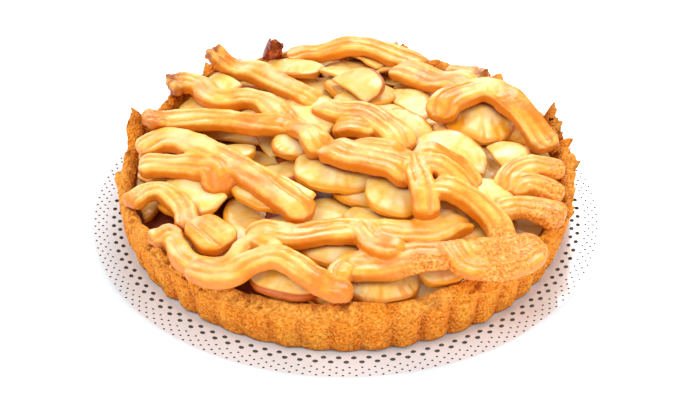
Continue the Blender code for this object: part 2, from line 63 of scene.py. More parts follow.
def softNoise(places, size, seed):  # smooth noise from -1 to 1 whose blobs are about this many metres wide
    cells = places / size
    corner = np.floor(cells).astype(np.int64)
    part = cells - corner
    part = part * part * (3 - 2 * part)
    total = np.zeros(len(places))
    for step in np.ndindex(2, 2, 2):
        weight = np.prod(np.where(np.array(step) == 1, part, 1 - part), axis=1)
        mixed = (corner + step) @ np.array([374761393, 668265263, 2147483647]) + seed * 974634777
        mixed = (mixed ^ (mixed >> 13)) * 1274126177
        mixed = (mixed ^ (mixed >> 16)) & 0xFFFFFF
        total += weight * (mixed / 0x7FFFFF - 1)
    return total


def blend(low, high, value):  # 0 below low, 1 above high, smooth between
    share = np.clip((value - low) / (high - low), 0, 1)
    return share * share * (3 - 2 * share)


def roundedPower(value, power):  # keeps the sign
    return np.sign(value) * np.abs(value) ** power


def heapHeight(radius):
    share = np.minimum(1, radius / heap["radius"])
    return heap["base"] + heap["edge"] + (heap["centre"] - heap["edge"]) * (1 - share ** heap["power"])


def sideBySide(*parts):  # numbers and arrays as the coordinates, or the masks, of each point
    return np.stack(np.broadcast_arrays(*parts), axis=-1)


def polarPoints(radius, angle, height):
    return sideBySide(radius * np.cos(angle), radius * np.sin(angle), height).reshape(-1, 3)


def runAlong(line):  # how far along a line each of its points lies
    return np.concatenate([[0], np.cumsum(np.linalg.norm(np.diff(line, axis=0), axis=1))])


def ringFaces(rings, points, first=0):  # quads between closed rings
    faces = []
    for ring in range(rings - 1):
        for i in range(points):
            a = first + ring * points + i
            b = first + ring * points + (i + 1) % points
            faces.append((a, b, b + points, a + points))
    return faces


def loftFaces(rings, points, first=0):  # quads between closed rings, and a fan on each end point
    faces = ringFaces(rings, points, first)
    startTip = first + rings * points
    last = first + (rings - 1) * points
    for i in range(points):
        faces.append((first + (i + 1) % points, first + i, startTip))
        faces.append((last + i, last + (i + 1) % points, startTip + 1))
    return faces


def loftPoints(sections):  # the rings of a loft and its two end points
    tips = sections[[0, -1]].mean(axis=1)
    return np.concatenate([sections.reshape(-1, 3), tips])


def addObject(name, data):
    added = bpy.data.objects.new(name, data)
    bpy.context.scene.collection.objects.link(added)
    return added


def makePiece(name, points, faces, material, replaced=(), looks=None):
    mesh = bpy.data.meshes.new(name)
    mesh.from_pydata([tuple(p) for p in points], [], faces)
    mesh.validate()
    mesh.materials.append(material)
    mesh.shade_smooth()
    piece = addObject(name, mesh)
    if looks is not None:
        setLooks(mesh, looks)
    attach(piece, "root")
    if replaced:
        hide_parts(*replaced)
    return piece


def setLooks(mesh, looks):  # one colour attribute holds up to four masks for the material
    values = np.zeros((len(mesh.vertices), 4), np.float32)
    values[:, :looks.shape[1]] = np.clip(looks, 0, 1)
    attribute = mesh.color_attributes.new("look", "FLOAT_COLOR", "POINT")
    attribute.data.foreach_set("color", values.ravel())


def readVectors(items, name):
    values = np.empty(len(items) * 3)
    items.foreach_get(name, values)
    return values.reshape(-1, 3)


def smoothRoute(points, spacing):  # points evenly spaced along a smooth curve through a listed route
    points = np.array(points, float)
    padded = np.concatenate([points[:1], points, points[-1:]])
    fine = []
    for i in range(1, len(padded) - 2):
        a, b, c, d = padded[i - 1:i + 3]
        for t in np.linspace(0, 1, 24, endpoint=False):
            fine.append(0.5 * (2 * b + (c - a) * t + (2 * a - 5 * b + 4 * c - d) * t ** 2
                               + (3 * b - a - 3 * c + d) * t ** 3))
    fine = np.array(fine + [points[-1]])
    run = runAlong(fine)
    wanted = np.linspace(0, run[-1], max(3, round(run[-1] / spacing)) + 1)
    return np.stack([np.interp(wanted, run, fine[:, axis]) for axis in range(fine.shape[1])], axis=1)


def smoothValues(values, reach):  # moving average over this many neighbours each side
    padded = np.concatenate([np.full(reach, values[0]), values, np.full(reach, values[-1])])
    weights = np.hanning(2 * reach + 3)[1:-1]
    return np.convolve(padded, weights / weights.sum(), "valid")


# Helpers for materials

def fromHex(colour):  # an sRGB hex value as a linear colour
    parts = [int(colour[i:i + 2], 16) / 255 for i in (1, 3, 5)]
    linear = [p / 12.92 if p <= 0.04045 else ((p + 0.055) / 1.055) ** 2.4 for p in parts]
    return (*linear, 1)


def perMm(size):  # texture scale for a pattern whose cells are this many millimetres wide
    return 1 / (size * mm)


def addNode(tree, kind, settings=None, links=None):
    node = tree.nodes.new(kind)
    for key, value in (settings or {}).items():
        if isinstance(key, str) and hasattr(node, key):
            setattr(node, key, value)
        else:
            node.inputs[key].default_value = value
    for key, socket in (links or {}).items():
        tree.links.new(socket, node.inputs[key])
    return node


def setRamp(node, stops):  # stops are (place, hex colour)
    ramp = node.color_ramp
    while len(ramp.elements) < len(stops):
        ramp.elements.new(0.5)
    for element, (place, colour) in zip(ramp.elements, stops):
        element.position = place
        element.color = fromHex(colour)
    return node


def newMaterial(name):  # with its tree, its shader and coordinates that ride on the piece
    material = bpy.data.materials.new(name)
    material.use_nodes = True
    tree = material.node_tree
    place = addNode(tree, "ShaderNodeTexCoord").outputs["Object"]
    return material, tree, tree.nodes["Principled BSDF"], place


def readMasks(tree):  # the piece's "look" attribute: red, green, blue and alpha are a mask each
    look = addNode(tree, "ShaderNodeAttribute", {"attribute_name": "look"})
    masks = addNode(tree, "ShaderNodeSeparateColor", links={"Color": look.outputs["Color"]})
    return [masks.outputs[name] for name in ("Red", "Green", "Blue")] + [look.outputs["Alpha"]]


def cloudColours(tree, place, size, detail, rough, stops):  # noise of this size in mm, plain and coloured
    cloud = addNode(tree, "ShaderNodeTexNoise", {"Scale": perMm(size), "Detail": detail, "Roughness": rough},
                    {"Vector": place})
    ramp = addNode(tree, "ShaderNodeValToRGB", links={"Fac": cloud.outputs["Fac"]})
    return cloud.outputs["Fac"], setRamp(ramp, stops).outputs["Color"]


def tintInTurn(tree, colour, layers):  # each tint goes over what came before, as far as its mask says
    for mask, tint in layers:
        colour = addNode(tree, "ShaderNodeMix", {"data_type": "RGBA", 7: fromHex(tint)},
                         {0: mask, 6: colour}).outputs[2]
    return colour


def paintCreviceShade(tree, colour, deep, reach):  # painted shade: darker where ambient occlusion finds pieces sheltering one another
    shelter = addNode(tree, "ShaderNodeAmbientOcclusion", {"samples": 6, "Distance": reach})
    amount = addNode(tree, "ShaderNodeMapRange", {"From Min": 0.75, "From Max": 0.15, "To Max": 1.0},
                     {"Value": shelter.outputs["AO"]})
    return tintInTurn(tree, colour, [(amount.outputs["Result"], deep)])


def setConstants(shader, constants):
    for socket, value in constants.items():
        shader.inputs[socket].default_value = value


def finishShader(tree, shader, colour, relief, strength, depth, constants):
    tree.links.new(colour, shader.inputs["Base Color"])
    bump = addNode(tree, "ShaderNodeBump", {"Strength": strength, "Distance": depth}, {"Height": relief})
    tree.links.new(bump.outputs["Normal"], shader.inputs["Normal"])
    setConstants(shader, constants)


# Materials

def glazedPorcelain(name, darker, lighter):  # glazed and fired: clear gloss over the body; in dark colours it is painted shade for the holes
    material, tree, shader, place = newMaterial(name)
    tone = cloudColours(tree, place, 40, 2, 0.5, [(0.3, darker), (0.7, lighter)])[1]
    ripple = addNode(tree, "ShaderNodeTexNoise", {"Scale": perMm(6), "Detail": 1}, {"Vector": place})
    finishShader(tree, shader, tone, ripple.outputs["Fac"], 0.06, 0.3 * mm,
                 {"Roughness": 0.18, "Coat Weight": 0.4, "Coat Roughness": 0.06})
    return material


def bakedShortcrust():  # butter pastry baked dry: orange-gold crumb with dark pits; painted shade darkens the flute valleys
    material, tree, shader, place = newMaterial("bakedShortcrust")
    valley, rim, toast = readMasks(tree)[:3]
    base = cloudColours(tree, place, 14, 4, 0.6, [(0.3, "#f0800c"), (0.5, "#fd9a22"), (0.72, "#ffb43c")])[1]
    mottle = addNode(tree, "ShaderNodeTexNoise", {"Scale": perMm(4.5), "Detail": 4, "Roughness": 0.7},
                     {"Vector": place})
    browned = addNode(tree, "ShaderNodeMapRange", {"From Min": 0.5, "From Max": 0.66, "To Max": 0.65},
                      {"Value": mottle.outputs["Fac"]})
    # the valley tint is painted shade in the flutes
    mottled = tintInTurn(tree, base, [(valley, "#cc5c0a"), (rim, "#ffb24a"),
                                      (browned.outputs["Result"], "#cc6614")])
    pits, crumbTone = cloudColours(tree, place, 1.5, 2, 0.6, [(0.34, "#7a3606"), (0.42, "#d86c0c"),
                                                              (0.54, "#fc9c2c"), (0.66, "#ffc468")])
    crumbed = addNode(tree, "ShaderNodeMix", {"data_type": "RGBA", 0: 0.5}, {6: mottled, 7: crumbTone})
    toasted = tintInTurn(tree, crumbed.outputs[2], [(toast, "#a04c10")])
    crumb = addNode(tree, "ShaderNodeTexVoronoi", {"Scale": perMm(1.3)}, {"Vector": place})
    relief = addNode(tree, "ShaderNodeMath", {"operation": "ADD"}, {0: crumb.outputs["Distance"], 1: pits})
    # painted shade from ambient occlusion darkens the crust's crevices
    finishShader(tree, shader, paintCreviceShade(tree, toasted, "#8a3404", 3 * mm), relief.outputs["Value"],
                 1.0, 1.0 * mm, {"Roughness": 0.7, "Specular IOR Level": 0.15, "Subsurface Weight": 0.1,
                                 "Subsurface Scale": 1.5 * mm})
    return material


def glazedStrand():  # piped choux-like paste, baked golden under a sugar glaze: gloss with a warm depth
    material, tree, shader, place = newMaterial("glazedBakedStrand")
    under, dry, crisp, paintedHighlight = readMasks(tree)
    base = cloudColours(tree, place, 22, 5, 0.65,
                        [(0.38, "#ea8412"), (0.5, "#f7ae34"), (0.62, "#fccb62")])[1]
    # the red mask is painted shade under the strands and in their creases; the alpha mask is a painted
    # highlight on faces turned to the light
    glazed = tintInTurn(tree, base, [(under, "#e07a0a"), (paintedHighlight, "#ffdfa6")])
    crumb = cloudColours(tree, place, 1.5, 2, 0.6, [(0.34, "#b8600f"), (0.43, "#e07a12"),
                                                    (0.54, "#fa9c30"), (0.66, "#ffc068")])[1]
    baked = addNode(tree, "ShaderNodeMix", {"data_type": "RGBA"}, {0: dry, 6: glazed, 7: crumb})
    browned = tintInTurn(tree, baked.outputs[2], [(crisp, "#a3541c")])
    dryness = addNode(tree, "ShaderNodeMapRange", {"To Min": 0.38, "To Max": 0.62}, {"Value": dry})
    tree.links.new(dryness.outputs["Result"], shader.inputs["Roughness"])
    wrinkle = addNode(tree, "ShaderNodeTexNoise", {"Scale": perMm(3), "Detail": 4, "Distortion": 0.8},
                      {"Vector": place})
    # painted shade from ambient occlusion darkens the strands where they meet
    finishShader(tree, shader, paintCreviceShade(tree, browned, "#b04c06", 4 * mm), wrinkle.outputs["Fac"],
                 0.45, 0.5 * mm, {"Specular IOR Level": 0.35, "Coat Weight": 0.2, "Coat Roughness": 0.22})
    return material


def cookedApple():  # flesh cooked soft and glazed: pale cream, yellow to orange at its edges
    material, tree, shader, place = newMaterial("cookedAppleFlesh")
    edge, deep, skin = readMasks(tree)[:3]
    flesh = cloudColours(tree, place, 9, 4, 0.6, [(0.32, "#f9cb50"), (0.5, "#fee28a"), (0.7, "#fff1c4")])[1]
    tinted = tintInTurn(tree, flesh, [(edge, "#f3a01c"), (deep, "#eea526"), (skin, "#b23a0a")])
    grain = addNode(tree, "ShaderNodeTexNoise", {"Scale": perMm(2.2), "Detail": 5, "Roughness": 0.6,
                                                 "Distortion": 0.6}, {"Vector": place})
    # painted shade from ambient occlusion darkens the slices where they meet
    finishShader(tree, shader, paintCreviceShade(tree, tinted, "#a8500a", 4 * mm), grain.outputs["Fac"],
                 0.5, 0.4 * mm, {"Roughness": 0.34, "Specular IOR Level": 0.35, "Subsurface Weight": 0.1,
                                 "Subsurface Scale": 2 * mm, "Coat Weight": 0.3, "Coat Roughness": 0.15})
    return material


def appleCaramel():  # juice and sugar cooked down between the slices: dark red-brown, half dried
    material, tree, shader, place = newMaterial("appleCaramel")
    cloud, colour = cloudColours(tree, place, 7, 4, 0.6,
                                 [(0.3, "#5a1a08"), (0.5, "#8c3a10"), (0.7, "#b8661e")])
    finishShader(tree, shader, colour, cloud, 0.4, 0.6 * mm, {"Roughness": 0.5})
    return material


def bakedPeel():  # a strip of apple skin baked to a dark curl, thin and glossy
    material, tree, shader, place = newMaterial("bakedApplePeel")
    cloud, colour = cloudColours(tree, place, 4, 4, 0.65,
                                 [(0.32, "#3a0d05"), (0.5, "#8c2a12"), (0.68, "#c8663a")])
    finishShader(tree, shader, colour, cloud, 0.5, 0.5 * mm, {"Roughness": 0.35, "Coat Weight": 0.3})
    return material


# Plate

plate = {
    "height": 10 * mm, "radius": 141 * mm, "well": 121 * mm, "rise": 1.2 * mm, "under": 6.6 * mm,
    "footInner": 88 * mm, "footOuter": 93 * mm,
    # Rings of points in mm: plain ones inside, three to each band of holes, and the edge
    "innerRings": (20, 50, 86, 87, 88, 92, 93, 94, 110, 120, 121), "innerSteps": 105,
    "largeRings": (123 * mm, 126.3 * mm, 129.7 * mm), "largeCount": 210, "largeHole": (1.5 * mm, 1.2 * mm),
    "smallRings": [(131 * mm, 132.9 * mm, 134.8 * mm), (135.2 * mm, 137.1 * mm, 139 * mm)],
    "smallCount": 264, "smallHole": (0.64 * mm, 0.6 * mm), "outerRings": (139.5, 140.3, 140.8, 141),
    "pinch": 0.12,  # how much the larger holes narrow to one side
    "sharpAngle": 50,
}


def plateTop(radius):
    marks = [plate["well"], plate["well"] + 2 * mm, plate["radius"] - 1.5 * mm, plate["radius"]]
    return plate["height"] + plate["rise"] * float(np.interp(radius, marks, [0, 0.5, 1, 0.1]))


def plateUnder(radius):
    marks = [plate["footInner"] - 1 * mm, plate["footInner"], plate["footOuter"] - 1 * mm,
             plate["footOuter"], plate["well"], plate["radius"] - 1.5 * mm, plate["radius"]]
    under = plate["under"]
    edge = plate["height"] + plate["rise"] - 2.4 * mm
    return float(np.interp(radius, marks, [under, 0, 0, under, under, edge, edge + 1.1 * mm]))


def buildPlate(material, shaded):  # a polar sheet with real holes, given its underside, foot and soft edges
    flat = []
    faces = []

    def addRing(radius, count):
        first = len(flat)
        for i in range(count):
            angle = 2 * math.pi * i / count
            flat.append((radius * math.cos(angle), radius * math.sin(angle)))
        return list(range(first, first + count))

    def joinRings(inner, outer):  # triangles between rings of unlike counts, quads between like ones
        if len(inner) == len(outer):
            n = len(inner)
            faces.extend((inner[i], outer[i], outer[(i + 1) % n], inner[(i + 1) % n]) for i in range(n))
            return
        i = k = 0
        while i < len(inner) or k < len(outer):
            a, b = inner[i % len(inner)], outer[k % len(outer)]
            if k >= len(outer) or (i < len(inner) and (i + 1) / len(inner) <= (k + 1) / len(outer)):
                i += 1
                faces.append((a, b, inner[i % len(inner)]))
            else:
                k += 1
                faces.append((a, b, outer[k % len(outer)]))

    def holedBand(rings, count, size, corners):  # two rows of cells, a hole in every other one
        levels = [rings[0], (rings[0] + rings[1]) / 2, rings[1], (rings[1] + rings[2]) / 2, rings[2]]
        lines = [addRing(radius, 2 * count) for radius in levels]
        for row in range(2):
            for cell in range(count):
                a, b, c = 2 * cell, 2 * cell + 1, (2 * cell + 2) % (2 * count)
                low, middle, high = lines[2 * row:2 * row + 3]
                around = [low[a], middle[a], high[a], high[b], high[c], middle[c], low[c], low[b]]
                if (cell + row) % 2:
                    faces.extend((around[i], around[i + 1], around[(i + 2) % 8], middle[b])
                                 for i in (0, 2, 4, 6))
                    continue
                angle = 2 * math.pi * b / (2 * count)
                first = len(flat)
                for i in range(8):
                    turn = math.radians(225 - 45 * i)
                    pinch = 1 - corners * math.sin(turn) if row else 1 + corners * math.sin(turn)
                    side = size[0] * math.cos(turn) * pinch
                    away = levels[2 * row + 1] + size[1] * math.sin(turn)
                    flat.append((away * math.cos(angle) - side * math.sin(angle),
                                 away * math.sin(angle) + side * math.cos(angle)))
                faces.extend((around[i], around[(i + 1) % 8], first + (i + 1) % 8, first + i)
                             for i in range(8))
        return lines[0], lines[-1]

    coarse = plate["innerSteps"]
    rings = [addRing(radius * mm, coarse) for radius in plate["innerRings"]]
    for inner, outer in zip(rings, rings[1:]):
        joinRings(inner, outer)
    last = rings[-1]
    bands = [(plate["largeRings"], plate["largeCount"], plate["largeHole"], plate["pinch"])]
    bands += [(band, plate["smallCount"], plate["smallHole"], 0) for band in plate["smallRings"]]
    for band in bands:
        bandIn, bandOut = holedBand(*band)
        joinRings(last, bandIn)
        last = bandOut
    outerRings = [addRing(radius * mm, 2 * plate["smallCount"]) for radius in plate["outerRings"]]
    for inner, outer in zip([last] + outerRings, outerRings):
        joinRings(inner, outer)
    count = len(flat)
    centre = count * 2
    radii = [math.hypot(*p) for p in flat]
    points = [(*p, plateTop(r)) for p, r in zip(flat, radii)]
    points += [(*p, plateUnder(r)) for p, r in zip(flat, radii)]
    points += [(0, 0, plate["height"]), (0, 0, plate["under"])]
    faces.extend((centre, rings[0][i], rings[0][(i + 1) % coarse]) for i in range(coarse))
    edges = dict.fromkeys((face[i], face[(i + 1) % len(face)]) for face in faces for i in range(len(face)))
    walls = [(b, a, a + count, b + count) for a, b in edges if (b, a) not in edges]
    under = [tuple(i + count if i < centre else centre + 1 for i in reversed(face)) for face in faces]
    piece = makePiece("pierced_plate", points, faces + walls + under, material, ["plate"])
    # the hole walls near the tart take the second material: painted shade in the holes
    piece.data.materials.append(shaded)
    for face in piece.data.polygons[len(faces):len(faces) + len(walls)]:
        if math.hypot(*face.center[:2]) < plate["smallRings"][1][2]:
            face.material_index = 1
    piece.data.set_sharp_from_angle(angle=math.radians(plate["sharpAngle"]))


# Crust

crust = {
    "topRadius": 124.5 * mm, "baseRadius": 120.5 * mm, "bottom": 10.35 * mm, "height": 30 * mm,
    "wall": 8 * mm, "floor": 4 * mm, "floorRing": 60 * mm, "shoulder": 14 * mm, "flutes": 50,
    "fluteDepth": 2.8 * mm, "columnsPerFlute": 18, "rowHeight": 0.85 * mm,
    "crags": [(7, 0.75), (3, 0.7), (1.6, 0.4)],  # blob size and height in mm
    "rimCrumble": 3.0, "fluteSharpness": 0.75, "fluteFading": 0.8,  # how far the flutes fade towards the rim
    # Places where the baked rim stands up or has broken away: angle, rise in mm, half width
    "marks": [(165, 12.5, 3.2), (174, -4.5, 6), (181, -5.5, 5), (188, 5.5, 2.6), (151, -2, 6), (130, 3, 4),
              (43, 4, 4), (17, 12.5, 2.7), (3, 4, 4), (-20, -2, 7), (-62, 2.5, 9), (-88, 2, 8),
              (-128, -1.5, 8), (212, 3, 5)],
}


def rimRise(angle):
    around = Vector((math.cos(angle) * 2.4, math.sin(angle) * 2.4, 0))
    rise = 1.1 * noise.noise(around * 1.6) + 0.8 * noise.noise(around * 5 + Vector((7, 0, 0)))
    for centre, height, halfWidth in crust["marks"]:
        away = abs((math.degrees(angle) - centre + 180) % 360 - 180)
        if away < halfWidth:
            rise += height * (1 - (away / halfWidth) ** 2) ** 0.8
    return rise * mm


def buildCrust(material):  # the fluted shell, its wall and rim with crumb relief
    base = crust["bottom"]
    top = base + crust["height"]
    outer = crust["topRadius"]
    foot = crust["baseRadius"]
    inner = outer - crust["wall"]
    outline = [(foot - 6 * mm, base), (foot - 1.4 * mm, base), (foot, base + 1.6 * mm),
               (outer - 1.5 * mm, base + crust["shoulder"]), (outer - 0.6 * mm, top - 3.5 * mm),
               (outer - 1.9 * mm, top - 0.9 * mm), (outer - 4 * mm, top), (inner + 1.6 * mm, top - 1.4 * mm),
               (inner, top - 7 * mm), (inner - 3 * mm, base + crust["floor"])]
    profile = smoothRoute(outline, crust["rowHeight"])
    columns = crust["flutes"] * crust["columnsPerFlute"]
    angles = np.arange(columns) * 2 * math.pi / columns
    radius, angle = np.meshgrid(profile[:, 0], angles, indexing="ij")
    level = np.repeat(profile[:, 1:], columns, axis=1)
    rib = np.abs(np.sin(angle * crust["flutes"] / 2)) ** crust["fluteSharpness"]
    outside = blend(foot - 4 * mm, foot - 1 * mm, radius)
    outside[np.argmax(profile[:, 1]) + 2:] = 0
    fading = 1 - crust["fluteFading"] * blend(base + crust["shoulder"], top, level)
    valley = (1 - rib) * outside * fading
    valley *= 0.75 + 0.35 * softNoise(polarPoints(100 * mm, angle, 0), 14 * mm, 61).reshape(angle.shape)
    radius = radius - crust["fluteDepth"] * valley
    lift = blend(top - 12 * mm, top - 1 * mm, level)
    rises = np.array([rimRise(a) for a in angles])
    level = level + rises * lift
    places = polarPoints(radius, angle, level)
    relief = np.zeros(len(places))
    for seed, (size, height) in enumerate(crust["crags"]):
        relief += height * mm * softNoise(places, size * mm, seed)
    crumble = 1 + crust["rimCrumble"] * lift.ravel() * blend(-0.2, 0.5, softNoise(places, 16 * mm, 9))
    relief = np.where(level.ravel() < base + 1 * mm, 0, relief * crumble)
    places = places + polarPoints(1, angle, 0) * relief[:, None]
    places[:, 2] += relief * lift.ravel() * 1.2
    rows = len(profile)
    faces = ringFaces(rows, columns)
    ringFirst = rows * columns
    levels = (base + crust["floor"], base)
    floors = [polarPoints(crust["floorRing"], angles, height) for height in levels]
    places = np.concatenate([places, *floors, [(0, 0, height) for height in levels]])
    centre = ringFirst + 2 * columns
    last = (rows - 1) * columns
    for i in range(columns):
        k = (i + 1) % columns
        faces.append((last + i, last + k, ringFirst + k, ringFirst + i))
        faces.append((ringFirst + i, ringFirst + k, centre))
        faces.append((ringFirst + columns + i, ringFirst + columns + k, k, i))
        faces.append((ringFirst + columns + k, ringFirst + columns + i, centre + 1))
    shell = places[:ringFirst]
    pale = lift.ravel() * blend(-0.3, 0.3, softNoise(shell, 20 * mm, 21))
    tall = blend(3 * mm, 9 * mm, np.tile(rises, rows)) * lift.ravel()
    toasted = blend(0.25, 0.7, softNoise(shell, 5 * mm, 31)) * lift.ravel()
    looks = np.zeros((len(places), 3))
    # red is painted shade in the flute valleys, green the paler rim, blue the toasted rim
    looks[:ringFirst] = sideBySide(valley.ravel() * 1.5, pale, np.maximum(0.35 * tall, 0.6 * toasted))
    makePiece("fluted_crust", places, faces, material, ["crust"], looks)


# Apple slices

slices = {
    "fine": (50, 60), "coarse": (22, 26), "sectionPower": 0.32, "edgePower": 0.45, "coreHollow": 0.18,
    "middle": 0.42, "coreThinness": 0.45, "looseThickness": 4.2 * mm, "sunkThickness": 4.4 * mm,
    "sunkBend": 2.5 * mm, "sunkRise": 0.2 * mm, "wave": 0.9 * mm, "streak": 0.16 * mm,
    "edgeWobble": 0.05, "skinnedShare": 0.2,
    # Loose slices, lowest first: centre x, y, length, width, turn, lean across, bend; then how much
    # skin, how strong the ribs and how golden
    "loose": {
        "slice_back_left": (-33, 91, 38, 19, 158, -6, 3, 0.35, 1, 0.7),
        "slice_back": (2, 81, 34, 18, -46, -8, 2, 0, 1, 0.15),
        "slice_back_folded": (9, 56, 34, 20, -54, 10, 3, 0.8, 1, 1),
        "slice_middle_left": (-20, 34, 44, 26, -42, 6, 3, 0, 1, 0.15),
        "slice_left_short": (-31, -2, 24, 16, 110, -6, 2, 0.4, 1, 0.15),
        "slice_left": (-84, -37, 40, 22, 143, -7, 3, 0, 1, 0.15),
        "slice_long_left": (-41, -41, 48, 21, 149, -6, 3, 0, 1, 0.15),
        "slice_near_middle": (-3, -27, 52, 27, 172, -5, 3, 0, 1, 0.15),
        "slice_front_middle": (27, -51, 36, 24, 174, -5, 2, 0, 1, 0.15),
        "slice_right_pale": (75, -38, 30, 19, 188, -6, 2, 0, 1, 0.15),
        "slice_right_baked": (90, 0, 28, 18, -66, 10, 2, 0.6, 1, 0.8),
        "slice_right_broad": (57, 0, 42, 23, -16, 6, 3, 0.25, 1, 0.4),
        "slice_peel_right": (73, 64, 34, 18, 164, -8, 3, 0.9, 1.8, 0.4),
        "slice_ribbed": (73, 28, 40, 27, 168, -16, 3, 0.2, 5.5, 0.5),
        "slice_front_leaf": (-30, -107, 38, 17, 165, -8, 3, 0.8, 1, 0.4),
        "slice_front_yellow": (18, -104, 38, 18, 183, -12, 3, 0.25, 2, 0.5),
        "slice_front_right": (49, -99, 26, 15, 206, -10, 2, 0, 1, 0.4),
    },
    # Slices sunk into the heap: centre x, y, length, width, turn and lean
    "sunk": [(-22, 62, 40, 20, -30, 14), (-4, 82, 40, 20, 10, -12), (28, 66, 36, 18, -35, 16),
             (-70, 42, 38, 20, 60, 12), (-88, 50, 34, 17, 70, -16), (-84, 12, 38, 20, -20, 12),
             (-58, 4, 40, 20, 15, -12), (-66, -66, 34, 20, 25, 14), (-54, -68, 36, 20, -55, -14),
             (-38, -68, 36, 18, -25, 16), (-92, -64, 32, 17, -60, 14), (-20, -92, 40, 19, 10, 16),
             (56, -84, 40, 20, 25, -14), (84, -70, 32, 18, 50, 12), (96, -42, 34, 18, 80, -12),
             (97, -6, 34, 18, -60, 14), (60, 34, 38, 20, -30, -14), (88, 38, 34, 18, -50, 12),
             (20, 22, 38, 20, 20, 14), (20, -10, 40, 20, -10, -14), (-56, -18, 36, 18, -40, 12),
             (30, 98, 34, 17, -20, -12), (-62, 78, 34, 17, 35, 12)],
    # More slices tucked among them, in rings: distance from the middle in mm, and how many
    "tuckedRings": [(8, 4), (26, 11), (46, 18), (66, 25), (84, 29), (97, 28), (107, 26)],
    "gaps": [(-99, -60), (-92, -82), (-82, -85), (-31, 3), (0, -2), (-28, -38), (-32, -93),
             (-46, -112), (70, -80), (90, -70), (-75, -40), (-100, 35), (-80, 13), (-62, 60), (22, 76)],
    "gapReach": 3 * mm,
    # How far a tucked slice rises: near the middle, 85 mm out and 100 mm out; how far it sinks under others
    "mostRise": (16 * mm, 16 * mm, 14 * mm), "mostSink": 1.5 * mm, "underStrand": 2.2 * mm,
    "underSlice": 1.5 * mm, "wallReach": 113.5 * mm,
    # Loose slices whose tops are lower than this over the heap are raised, by this at most
    "looseLevel": 16 * mm, "looseLift": 6 * mm,
    "coreDrop": 1 * mm, "coreRings": 45, "coreSteps": 140, "coreFloor": 4.4 * mm,
}


def sliceSections(length, width, thickness, bend, seed, ribs, fineness):  # half-moon, thick at its skin side
    stations, around = fineness
    along = np.sin(np.linspace(-1, 1, stations) * 1.36)[:, None]
    turn = (np.arange(around) * 2 * math.pi / around)[None, :]
    arc = np.maximum(0, 1 - (along * 0.985) ** 2) ** 0.4
    coreSide = -slices["coreHollow"] * arc
    skinSide = 0.06 + 0.94 * arc
    across = 0.5 + 0.5 * roundedPower(np.cos(turn), slices["edgePower"])
    y = coreSide + (skinSide - coreSide) * across
    thin = 1 - slices["coreThinness"] * (1 - blend(0, 0.8, across))
    ends = blend(1.0, 0.9, np.abs(along)) * 0.75 + 0.25
    up = roundedPower(np.sin(turn), slices["sectionPower"]) * thickness / 2 * thin * ends
    drop = -bend * along ** 2 - 0.08 * width * (across - 0.4) ** 2
    shape = sideBySide(along * length / 2, (y - slices["middle"]) * width, up + drop)
    flat = shape.reshape(-1, 3)
    shift = np.array([seed * 0.013, seed * 0.007, 0])
    wave = slices["wave"] * softNoise((flat + shift) * [1, 1, 0], 13 * mm, seed)
    core = np.array([0, -0.55 * width])
    bearing = np.arctan2(flat[:, 1] - core[1], flat[:, 0] - core[0])
    fan = sideBySide(bearing * 9 * mm * 1.6, seed * 0.01, 0)
    away = np.linalg.norm(flat[:, :2] - core, axis=1)
    streak = slices["streak"] * ribs * softNoise(fan, 1.6 * mm, seed + 3)
    streak = streak * blend(0.4 * width, 0.9 * width, away)
    wander = (flat + shift) * [1, 0, 0] + [0, 0, seed]
    edgeWobble = 1 + slices["edgeWobble"] * softNoise(wander, 5 * mm, seed + 5)
    grid = shape.shape[:2]
    facing = np.sign(np.broadcast_to(np.sin(turn), grid)).ravel()
    shape[:, :, 1] = (flat[:, 1] * edgeWobble).reshape(grid)
    shape[:, :, 2] += (wave + streak * facing).reshape(grid)
    rim = np.broadcast_to(blend(0.84, 0.97, across), grid)
    coreRim = 0.5 * blend(0.1, 0.0, across)
    tips = 0.6 * blend(0.88, 1.0, np.abs(along))
    other = np.maximum(np.maximum(coreRim, tips), blend(0.8, 0.25, np.abs(np.sin(turn))))
    return shape, rim, other, streak.reshape(grid) / slices["streak"]


def placedOnHeap(points, x, y, turn, lean):
    spin = Matrix.Rotation(math.radians(turn), 3, "Z") @ Matrix.Rotation(math.radians(lean), 3, "X")
    placed = points @ np.array(spin).T + np.array([x * mm, y * mm, 0])
    placed[:, 2] += heapHeight(np.hypot(placed[:, 0], placed[:, 1]))
    return placed


def sliceLooks(rim, other, streak, skin, gold):
    red = 0.8 * rim + 0.8 * other + 0.6 * np.maximum(0, -streak)
    green = gold * 0.45 + 0.25 * np.maximum(0, streak) * gold
    looks = sideBySide(red, green, skin * blend(0.2, 0.8, rim)).reshape(-1, 3)
    return np.concatenate([looks, looks[[0, -1]]])


def buildLooseSlices(material):
    for seed, (node, row) in enumerate(slices["loose"].items()):
        x, y, length, width, turn, lean, bend, skin, ribs, gold = row
        shape, rim, other, streak = sliceSections(length * mm, width * mm, slices["looseThickness"],
                                                  bend * mm, seed, ribs, slices["fine"])
        points = placedOnHeap(loftPoints(shape), x, y, turn, lean)
        lift = heapHeight(math.hypot(x * mm, y * mm)) + slices["looseLevel"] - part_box(node)[1].z
        points[:, 2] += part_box(node)[1].z - points[:, 2].max() + min(max(lift, 0), slices["looseLift"])
        makePiece(node + "_cooked", points, loftFaces(*slices["fine"]), material, [node],
                  sliceLooks(rim, other, streak, skin, gold))


def solidsTree(start):  # one search tree over the frame's nodes whose names start like this
    points = []
    faces = []
    for name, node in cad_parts.items():
        if name.startswith(start):
            first = len(points)
            points += [v.co.copy() for v in node.data.vertices]
            faces += [[first + i for i in face.vertices] for face in node.data.polygons]
    return BVHTree.FromPolygons(points, faces)


def topOf(tree, x, y):
    hit = tree.ray_cast(Vector((x, y, 0.2)), Vector((0, 0, -1)))[0]
    return hit.z if hit else None


